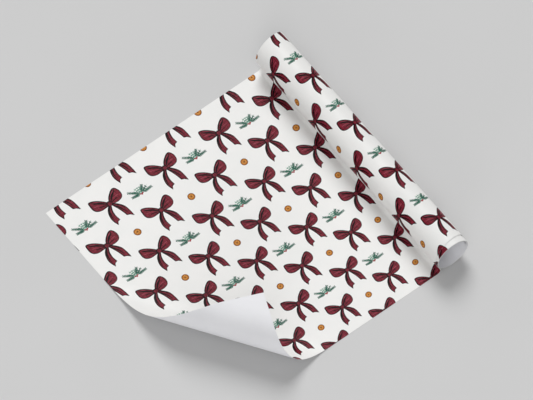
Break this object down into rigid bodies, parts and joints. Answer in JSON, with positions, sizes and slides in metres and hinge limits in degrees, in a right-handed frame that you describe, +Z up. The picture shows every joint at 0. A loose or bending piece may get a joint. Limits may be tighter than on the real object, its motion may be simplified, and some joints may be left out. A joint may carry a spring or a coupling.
{
  "type": "partly unrolled gift wrap roll",
  "caption": "Roll of printed gift wrap paper lying partly unrolled, with a hollow centre, telescoped windings and one corner of the laid sheet curled over.",
  "frame": {"origin": "middle of the footprint, on the floor", "axes": "+X along the roll towards its telescoped end, +Y from the cut end towards the roll, +Z up"},
  "size_m": [0.515, 0.5208, 0.0894],
  "materials": {
    "printed_paper": "smooth satin white with a printed pattern of bows, sprigs and slices",
    "paper_back": "plain uncoated cool white",
    "wound_paper": "printed outside, plain cool white inside, layered edge at each end"
  },
  "bodies": {
    "sheet": {"laid_sheet": "printed_paper"},
    "curl_lower": {"curl_lower": "paper_back"},
    "curl_side": {"curl_side": "paper_back"},
    "curl_upper": {"curl_upper": "paper_back"},
    "corner": {"corner_flap": "paper_back"},
    "nip": {"nip_bend": "printed_paper"},
    "roll": {"outer_turn": "printed_paper"},
    "windings": {"inner_windings": "wound_paper", "inner_tail": "paper_back"}
  },
  "joints": [
    {"name": "curl_lower_bend", "type": "hinge", "parent": "sheet", "child": "curl_lower", "pos_m": [0.17073, -0.13127, 0.00672], "axis": [0.83, 0.5577, 0], "range_deg": [-19, 46.04]},
    {"name": "curl_side_bend", "type": "hinge", "parent": "curl_lower", "child": "curl_side", "pos_m": [0.18513, -0.15271, 0.03217], "axis": [0.83, 0.5577, 0], "range_deg": [-19, 46.04]},
    {"name": "curl_upper_bend", "type": "hinge", "parent": "curl_side", "child": "curl_upper", "pos_m": [0.18447, -0.15171, 0.065], "axis": [0.83, 0.5577, 0], "range_deg": [-19, 46.04]},
    {"name": "corner_flap_bend", "type": "hinge", "parent": "curl_upper", "child": "corner", "pos_m": [0.17082, -0.13141, 0.08693], "axis": [0.83, 0.5577, 0], "range_deg": [-19, 46.04]},
    {"name": "roll_travel", "type": "slide", "parent": "sheet", "child": "nip", "axis": [0, 1, 0], "range_m": [-0.207, 0], "deforming": ["laid_sheet"]},
    {"name": "roll_turn", "type": "hinge", "parent": "nip", "child": "roll", "pos_m": [0.0075, 0.2269, 0.0335], "axis": [1, 0, 0], "range_deg": [-354.5, 0]},
    {"name": "windings_slide", "type": "slide", "parent": "roll", "child": "windings", "axis": [1, 0, 0], "range_m": [-0.015, 0.06]}
  ],
  "couplings": [
    {"joint": "curl_side_bend", "follows": "curl_lower_bend", "ratio": 1},
    {"joint": "curl_upper_bend", "follows": "curl_lower_bend", "ratio": 1},
    {"joint": "corner_flap_bend", "follows": "curl_lower_bend", "ratio": 1},
    {"joint": "roll_turn", "follows": "roll_travel", "rad_per_m": 29.851}
  ]
}
